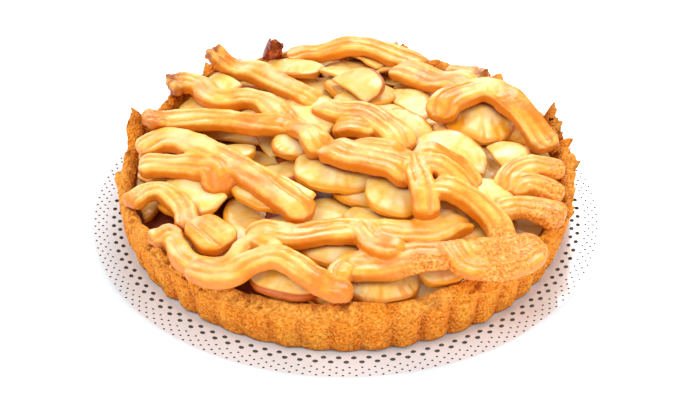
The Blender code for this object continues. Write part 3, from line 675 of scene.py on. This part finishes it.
def roomAbove(points, covers, share):  # how far a tucked slice can rise before it meets what lies over it
    middle = float(np.hypot(*points[:, :2].mean(axis=0)))
    room = share * float(np.interp(middle, [0, 85 * mm, 100 * mm], slices["mostRise"]))
    for x, y, z in points:
        for tree, sink in covers:
            top = topOf(tree, x, y)
            if top is not None:
                room = min(room, top - sink - z)
    return max(room, -slices["mostSink"])


def buildFilling(material, caramel):  # the caramel core, and the slices that lie half sunk in it
    rings = slices["coreRings"]
    steps = slices["coreSteps"]
    radius, angle = np.meshgrid(np.linspace(0.5 * mm, slices["wallReach"] + 2.2 * mm, rings),
                                np.arange(steps) * 2 * math.pi / steps, indexing="ij")
    places = polarPoints(radius, angle, heapHeight(radius))
    uneven = 1.8 * mm * softNoise(places, 9 * mm, 3)
    places[:, 2] += -slices["coreDrop"] + uneven + 0.6 * mm * softNoise(places, 3 * mm, 4)
    floor = heap["base"] + slices["coreFloor"]
    bottom = places[-steps:] * [0.98, 0.98, 0] + [0, 0, floor]
    places = np.concatenate([places, bottom, [places[:steps].mean(axis=0)], [(0, 0, floor)]])
    faces = [tuple(reversed(face)) for face in loftFaces(rings + 1, steps)]
    makePiece("caramel_core", places, faces, caramel, ["apple_filling"])
    random.seed(5)
    covers = [(solidsTree("piped"), slices["underStrand"]), (solidsTree("slice"), slices["underSlice"])]
    laid = [(*row, slices["sunkRise"]) for row in slices["sunk"]]
    for ring, (away, count) in enumerate(slices["tuckedRings"]):
        for i in range(count):
            bearing = 2 * math.pi * (i + 0.5 * (ring % 2) + random.uniform(-0.3, 0.3)) / count
            reach = away + random.uniform(-6, 6)
            laid.append((reach * math.cos(bearing), reach * math.sin(bearing), random.uniform(30, 42),
                         random.uniform(15, 22), random.uniform(-95, 35) + 180 * random.randint(0, 1),
                         random.uniform(-15, 15), None))
    points = []
    looks = []
    faces = []
    for i, (x, y, length, width, turn, lean, rise) in enumerate(laid):
        shape, rim, other, streak = sliceSections(length * mm, width * mm, slices["sunkThickness"],
                                                  slices["sunkBend"], 40 + i, 1.5, slices["coarse"])
        placed = placedOnHeap(loftPoints(shape), x, y, turn, lean)
        share = random.uniform(0.75, 1)
        skin = 0.8 * (random.random() < slices["skinnedShare"])
        gold = 0.15 + 0.85 * random.random()
        if rise is None and any(
                np.hypot(placed[:, 0] - x * mm, placed[:, 1] - y * mm).min() < slices["gapReach"]
                for x, y in slices["gaps"]):
            continue
        away = np.hypot(placed[:, 0], placed[:, 1])
        placed[:, 2] += roomAbove(placed, covers, share) if rise is None else rise
        pull = np.minimum(1, slices["wallReach"] / away)
        placed[:, :2] *= pull[:, None]
        faces += loftFaces(*slices["coarse"], sum(len(p) for p in points))
        points.append(placed)
        looks.append(sliceLooks(rim, other, streak, skin, gold))
    makePiece("sunk_slices", np.concatenate(points), faces, material, [],
              np.concatenate(looks))


# Piped strands

strands = {
    "thickness": 8.2 * mm, "spacing": 1.1 * mm, "around": 44, "voxel": 0.76 * mm, "layerRise": 1.8 * mm,
    "underDip": 0.8 * mm, "grooveDepth": 0.32, "grooveWidth": 0.13, "flatness": 0.45,
    "squareness": 0.72, "widening": 1.17, "endDip": 3 * mm, "endReach": 11 * mm, "rim": 98 * mm,
    "grooveDrift": 0.22, "swell": 0.11, "lean": 0.18, "crispReach": 14 * mm, "soften": 0.5,
    "uneven": 0.3 * mm, "fineUneven": 0.14 * mm,
    # Faces turned this way get a painted highlight, and the paste gets dry between these distances from the
    # middle
    "highlightFacing": (-0.42, 0.3, 0.86), "dryFrom": 106 * mm, "dryTo": 120 * mm,
    # Piped strands, lowest first: width and route points x, y, all in mm
    "routes": {
        "back_left_rise": (13, [(-80, 93), (-72, 89), (-62, 86), (-52, 80), (-42, 67), (-31, 54),
            (-22, 44), (-14, 39)]),
        "back_bow": (13, [(-35, 106), (-27, 107), (-17, 107), (-8, 108), (4, 109), (16, 108), (30, 102),
            (46, 93)]),
        "left_back_curl": (13, [(-103, 70), (-93, 73), (-84, 69), (-78, 55), (-69, 47), (-57, 47),
            (-46, 41), (-38, 28), (-30, 14), (-21, 0), (-15, -11), (-11, -17)]),
        "back_band": (19, [(28, 88), (38, 80), (50, 69), (63, 57), (73, 50)]),
        "back_right_stub": (12, [(58, 82), (70, 80), (83, 77)]),
        "middle_bow": (16, [(-14, 37), (-6, 29), (8, 27), (17, 20), (26, 8), (31, -5)]),
        "middle_blob": (13, [(-7, 15), (4, 13), (16, 12)]),
        "left_cross": (14, [(-112, 24), (-100, 29), (-88, 29), (-70, 25), (-54, 19), (-40, 14),
            (-28, 12)]),
        "left_long": (15, [(-113, 4), (-101, 11), (-90, 8), (-78, -2), (-67, -11), (-57, -22),
            (-44, -36), (-31, -50), (-19, -62)]),
        "left_low": (15, [(-111, -12), (-103, -12), (-92, -15), (-80, -18), (-69, -24), (-66, -38)]),
        "left_rim": (11, [(-112, -46), (-106, -36), (-97, -34), (-88, -44), (-83, -53), (-80, -66)]),
        "front_left_slab": (18, [(-78, -62), (-70, -70), (-60, -82)]),
        "front_left_hook": (10, [(-98, -77), (-89, -70), (-85, -80), (-79, -91), (-68, -95), (-57, -94),
            (-51, -85), (-45, -83), (-40, -89), (-33, -97)]),
        "front_rim": (12, [(-78, -97), (-67, -102), (-56, -106), (-48, -103), (-38, -101), (-27, -104),
            (-18, -112), (-8, -118), (3, -117)]),
        "front_long": (15, [(-50, -79), (-38, -77), (-24, -78), (-10, -75), (8, -74), (28, -76),
            (43, -74), (53, -66), (63, -60)]),
        "front_band": (17, [(-6, -94), (6, -98), (22, -98), (38, -99), (52, -97)]),
        "front_drop": (10, [(2, -99), (-3, -104), (-4, -112)]),
        "front_cross": (13, [(7, -66), (10, -78), (16, -89), (28, -95)]),
        "middle_fan": (16, [(-11, -14), (0, -23), (12, -30), (24, -36), (35, -45)]),
        "middle_ply": (12, [(2, -14), (14, -20), (26, -24), (38, -26)]),
        "right_upright": (11, [(33, -22), (36, -40), (39, -55), (41, -70)]),
        "right_upper": (12, [(36, -20), (49, -23), (61, -26), (68, -35)]),
        "right_middle": (12, [(37, -35), (46, -37), (56, -43), (66, -50)]),
        "right_lower": (13, [(44, -52), (56, -55), (68, -59), (77, -68), (80, -80)]),
        "right_sweep": (15, [(51, 24), (56, 34), (66, 41), (78, 47), (88, 42), (96, 32), (105, 19),
            (112, 7)]),
        "right_rim_upper": (13, [(117, -16), (107, -14), (97, -15), (88, -22), (82, -34)]),
        "right_rim_middle": (12, [(87, -36), (94, -31), (103, -31), (113, -38)]),
        "right_rim_lower": (14, [(77, -56), (87, -50), (99, -50), (112, -57)]),
        "front_right_slab": (19, [(60, -98), (72, -92), (85, -85), (99, -78)]),
        "front_right_rim": (14, [(51, -90), (54, -100), (60, -109), (72, -107), (84, -98), (97, -86)]),
    },
    # Strands that melted together, by the frame's node; all others are in the main net
    "nets": {
        "piped_strand_2": ["back_bow", "back_band", "right_sweep"],
        "piped_strand_3": ["back_left_rise", "middle_bow", "middle_blob"],
        "piped_strand_4": ["left_long", "left_low"],
        "piped_strand_5": ["left_rim", "front_left_slab"],
        "piped_strand_6": ["right_rim_upper", "right_rim_middle"],
        "piped_strand_7": ["back_right_stub"],
    },
    # How crisp and brown the strand is at its start and its end
    "crispEnds": {"back_left_rise": (1, 0), "left_back_curl": (1, 0), "back_right_stub": (0, 0.9),
                  "right_sweep": (0, 0.5), "left_rim": (0.3, 0.2), "front_left_hook": (0.4, 0),
                  "left_cross": (0.4, 0), "front_rim": (0.3, 0.3), "right_rim_lower": (0, 0.3)},
}


def layStrands():  # centre lines with heights: on the frame's solids, and over one another in order
    tree = solidsTree("piped")
    lines = {name: smoothRoute([(x * mm, y * mm) for x, y in route], strands["spacing"])
             for name, (_, route) in strands["routes"].items()}
    names = list(lines)
    laid = {}
    for order, (name, line) in enumerate(lines.items()):
        half = strands["routes"][name][0] * mm / 2 * strands["widening"]
        tops = np.full(len(line), np.nan)
        for i, (x, y) in enumerate(line):
            top = topOf(tree, x, y)
            if top is not None:
                tops[i] = top
        covered = np.zeros(len(line), bool)
        for later in names[order + 1:]:
            reach = strands["routes"][later][0] * mm / 2
            away = np.linalg.norm(line[:, None] - lines[later][None], axis=2).min(axis=1)
            covered |= away < reach
        known = ~np.isnan(tops) & ~covered
        if known.sum() < 3:
            known = ~np.isnan(tops)
        places = np.arange(len(line))
        tops = np.interp(places, places[known], tops[known])
        tops -= strands["underDip"] * smoothValues(covered.astype(float), 4)
        tops = smoothValues(tops, 4)
        for otherLine, otherTops, otherHalf in laid.values():
            away = np.linalg.norm(line[:, None] - otherLine[None], axis=2)
            close = away.argmin(axis=1)
            share = np.clip(1 - away.min(axis=1) / (otherHalf + 0.3 * half), 0, 1)
            wanted = otherTops[close] + strands["layerRise"] * np.minimum(1, 2 * share)
            tops = np.where(share > 0, np.maximum(tops, wanted), tops)
        tops = smoothValues(tops, 3)
        run = runAlong(line)
        # An end that isn't on the rim sinks between the slices
        for end, fromEnd in ((0, run), (-1, run[-1] - run)):
            if np.hypot(*line[end]) < strands["rim"]:
                tops = tops - strands["endDip"] * blend(strands["endReach"], 0, fromEnd)
        laid[name] = (line, tops, half)
    return laid


def strandSections(name, line, tops, half, seed):  # rings across a strand, flattened and creased
    count = len(line)
    run = runAlong(line)
    centre = np.concatenate([line, tops[:, None] - strands["thickness"] / 2], axis=1)
    tangent = np.gradient(centre, axis=0)
    tangent /= np.linalg.norm(tangent, axis=1)[:, None]
    side = sideBySide(-tangent[:, 1], tangent[:, 0], 0)
    side /= np.linalg.norm(side, axis=1)[:, None]
    up = np.cross(tangent, side)
    ends = np.minimum(run, run[-1] - run) / (0.75 * half)
    closing = np.sqrt(np.clip(1 - (1 - np.minimum(1, ends + 0.08)) ** 2, 0, 1))
    wander = sideBySide(run, seed * 1.7, 0)
    swell = 1 + strands["swell"] * softNoise(wander, 17 * mm, seed)
    swell = swell + 0.03 * softNoise(wander, 6 * mm, seed + 1)
    turn = np.arange(strands["around"]) * 2 * math.pi / strands["around"]
    across = roundedPower(np.cos(turn), strands["squareness"])[None, :]
    level = roundedPower(np.sin(turn), strands["flatness"])[None, :]
    depth = np.zeros((count, strands["around"]))
    for k, place in enumerate([-0.4] if half < 6.2 * mm else [-0.45, 0.3]):
        drift = place + strands["grooveDrift"] * softNoise(wander, 26 * mm, seed * 7 + k)[:, None]
        strength = blend(-0.9, 0.0, softNoise(wander, 21 * mm, seed * 11 + k))[:, None]
        depth += strength * np.exp(-((across - drift) / strands["grooveWidth"]) ** 2)
    lean = strands["lean"] * softNoise(wander, 24 * mm, seed + 5)[:, None]
    body = (1 - strands["grooveDepth"] * depth * (level > 0))[:, :, None]
    width = (half * closing * swell)[:, None, None] * across[:, :, None]
    height = (strands["thickness"] / 2 * closing ** 0.8 * swell)[:, None, None]
    height = height * (level + lean * across)[:, :, None]
    rings = centre[:, None, :] + side[:, None, :] * width + up[:, None, :] * height * body
    crispStart, crispEnd = strands["crispEnds"].get(name, (0, 0))
    crisp = np.maximum(crispStart * blend(strands["crispReach"], 2 * mm, run),
                       crispEnd * blend(strands["crispReach"], 2 * mm, run[-1] - run))
    stripes = sideBySide(run[:, None] / 6, half * across, 0.003 * seed)
    streak = 0.5 + 0.7 * softNoise(stripes.reshape(-1, 3), 2.4 * mm, seed + 9).reshape(depth.shape)
    return rings, sideBySide(depth, streak, crisp[:, None])


def buildStrands(material):
    laid = layStrands()
    netOf = {name: net for net, names in strands["nets"].items() for name in names}
    nets = {}
    for seed, name in enumerate(strands["routes"], 1):
        nets.setdefault(netOf.get(name, "piped_strands"), []).append((name, seed))
    for net, members in nets.items():
        points = []
        faces = []
        looks = []
        for name, seed in members:
            rings, marks = strandSections(name, *laid[name], seed)
            faces += loftFaces(len(rings), strands["around"], sum(len(p) for p in points))
            points.append(loftPoints(rings))
            looks.append(np.concatenate([marks.reshape(-1, 3), marks[[0, -1]].mean(axis=1)]))
        points = np.concatenate(points)
        looks = np.concatenate(looks)
        piece = makePiece(net + "_glazed", points, faces, material, [net])
        meltTogether(piece, points, looks)


def meltTogether(piece, points, looks):  # one skin round all of a net's strands, softened where they meet
    corners = [tuple(f.vertices) for f in piece.data.polygons]
    source = BVHTree.FromPolygons([tuple(p) for p in points], corners)
    remesh = piece.modifiers.new("melt", "REMESH")
    remesh.mode = "VOXEL"
    remesh.voxel_size = strands["voxel"]
    remesh.use_smooth_shade = True
    soften = piece.modifiers.new("soften", "SMOOTH")
    soften.factor = strands["soften"]
    soften.iterations = 1
    bpy.context.view_layer.update()
    melted = bpy.data.meshes.new_from_object(piece.evaluated_get(bpy.context.evaluated_depsgraph_get()))
    piece.modifiers.clear()
    piece.data = melted
    places = readVectors(melted.vertices, "co")
    normals = readVectors(melted.vertex_normals, "vector")
    fromSource = np.empty((len(places), 3))
    for i, place in enumerate(places):
        face = source.find_nearest(place)[2]
        fromSource[i] = looks[list(corners[face])].mean(axis=0)
    # painted shade on faces that turn down
    under = 0.85 * blend(0.8, 0, normals[:, 2])
    # painted highlight on faces turned towards the key light, broken into streaks and patches
    towardsLight = normals @ strands["highlightFacing"]
    streak = fromSource[:, 1]
    pale = blend(0.7, 0.97, towardsLight) * np.clip(0.1 + 0.9 * streak, 0, 1)
    pale = pale * blend(-0.6, 0.4, softNoise(places, 10 * mm, 57))
    uneven = strands["uneven"] * softNoise(places, 5 * mm, 51)
    uneven += strands["fineUneven"] * softNoise(places, 2 * mm, 52)
    rough = 1 + 5 * fromSource[:, 2]
    rough *= 1 + 2.0 * fromSource[:, 2] * softNoise(places, 2.5 * mm, 53)
    places += normals * (uneven * rough)[:, None]
    melted.vertices.foreach_set("co", places.ravel())
    melted.update()
    away = np.hypot(places[:, 0], places[:, 1]) + 5 * mm * softNoise(places, 7 * mm, 55)
    bearing = np.degrees(np.arctan2(places[:, 1], places[:, 0]))
    spread = blend(42, 30, np.abs(bearing + 40))  # the wide band spread over the rim is as dry as the crust
    dry = blend(strands["dryFrom"], strands["dryTo"], away + 8 * mm * spread) * (0.12 + 0.8 * spread)
    dry *= blend(-0.9, 0.4, softNoise(places, 12 * mm, 56) + 0.25 * spread)
    # painted shade: undersides, creases and darker lengthwise streaks
    shade = np.maximum(under, 0.9 * fromSource[:, 0]) + 0.5 * np.clip(0.45 - streak, 0, 1)
    crisp = fromSource[:, 2] * blend(-0.6, 0.3, softNoise(places, 4 * mm, 54))
    setLooks(melted, sideBySide(shade, dry, crisp, pale))
    melted.shade_smooth()


# Curl of baked peel at the back

peel = {
    "place": (-46 * mm, 107 * mm), "height": 15 * mm, "thickness": 1.2 * mm, "radius": 6 * mm,
    "flare": 2 * mm, "lean": 3.5 * mm, "halfArc": 80, "turn": -20, "columns": 60, "rows": 40,
}


def buildPeel(material):
    along, up = np.meshgrid(np.linspace(-1, 1, peel["columns"]), np.linspace(0, 1, peel["rows"]),
                            indexing="ij")
    angle = np.radians(peel["halfArc"]) * along
    radius = peel["radius"] + peel["flare"] * up
    flat = sideBySide(along * 9 * mm, up * peel["height"], 0).reshape(-1, 3)
    ragged = (softNoise(flat * [1, 0, 0], 2.6 * mm, 8) * 0.1).reshape(up.shape) * blend(0.5, 1, up)
    crest = 1 - 0.3 * blend(0.1, 1, along) - 0.25 * blend(-0.4, -1, along) + ragged
    crumple = 0.9 * mm * softNoise(flat, 5 * mm, 9) + 0.35 * mm * softNoise(flat, 2 * mm, 10)
    crumple = crumple.reshape(up.shape)
    places = sideBySide((radius + crumple) * np.sin(angle) + peel["lean"] * up * (1 - along),
                        (radius + crumple) * (1 - np.cos(angle)) + 2 * crumple * up,
                        peel["height"] * up * crest).reshape(-1, 3)
    spin = np.array(Matrix.Rotation(math.radians(peel["turn"]), 3, "Z"))
    places = places @ spin.T + [*peel["place"], 0]
    places[:, 2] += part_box("peel_curl")[1].z - places[:, 2].max()
    faces = []
    for i in range(peel["columns"] - 1):
        for k in range(peel["rows"] - 1):
            a = i * peel["rows"] + k
            faces.append((a, a + 1, a + 1 + peel["rows"], a + peel["rows"]))
    piece = makePiece("baked_peel_curl", places, faces, material, ["peel_curl"])
    shell = piece.modifiers.new("thickness", "SOLIDIFY")
    shell.thickness = peel["thickness"]
    shell.offset = 0


# Floor, light and camera

light = {
    # Softboxes, each aimed at the tart: power in watts, size and place in metres
    "softboxes": {"keyLight": (11, 0.8, (-0.9, -0.5, 1.3)), "backLight": (13, 0.7, (0.2, 1.1, 1.1)),
                  "fillLight": (11, 1.3, (1.2, -0.7, 0.9))},
    "sky": 0.66, "floorGlow": 0.35, "floorSize": 6, "floorDrop": 0.2 * mm,
}


def buildFloor():
    material, _, shader, _ = newMaterial("paleFloor")
    setConstants(shader, {"Base Color": fromHex("#ffffff"), "Roughness": 0.9,
                          "Emission Color": (1, 1, 1, 1), "Emission Strength": light["floorGlow"]})
    bpy.ops.mesh.primitive_plane_add(size=light["floorSize"], location=(0, 0, -light["floorDrop"]))
    floor = bpy.context.object
    floor.name = "floor"
    floor.data.materials.append(material)


def addSoftbox(name, power, size, place):
    lamp = bpy.data.lights.new(name, "AREA")
    lamp.energy = power
    lamp.size = size
    lampObject = addObject(name, lamp)
    lampObject.location = place
    lampObject.rotation_euler = (-Vector(place)).to_track_quat("-Z", "Y").to_euler()


def buildStage():
    buildFloor()
    for name, box in light["softboxes"].items():
        addSoftbox(name, *box)
    world = bpy.data.worlds.new("studio")
    world.use_nodes = True
    setConstants(world.node_tree.nodes["Background"], {"Color": (1, 1, 1, 1), "Strength": light["sky"]})
    bpy.context.scene.world = world
    bpy.context.scene.view_settings.view_transform = "Standard"  # true, bright colours as in the photograph
    lens = bpy.data.cameras.new("photoCamera")
    lens.lens = camera["lens"]
    view = addObject("photoCamera", lens)
    tilt = math.radians(camera["elevation"])
    view.location = (0, -math.cos(tilt) * camera["distance"],
                     math.sin(tilt) * camera["distance"] + camera["heightOfPivot"])
    view.rotation_euler = (Vector(camera["target"]) - view.location).to_track_quat("-Z", "Y").to_euler()
    bpy.context.scene.camera = view


buildStage()
print("floor, light and camera set")
# the second, dark porcelain is painted shade for the hole walls
buildPlate(glazedPorcelain("glazedWhitePorcelain", "#dde3e8", "#e8edf1"),
           glazedPorcelain("paintedShadeInTheHoles", "#5f554e", "#7d7269"))
print("plate pierced")
buildCrust(bakedShortcrust())
print("crust baked")
apple = cookedApple()
buildFilling(apple, appleCaramel())
print("filling heaped")
buildLooseSlices(apple)
print("loose slices laid")
buildStrands(glazedStrand())
print("strands piped")
buildPeel(bakedPeel())
print("peel curled")
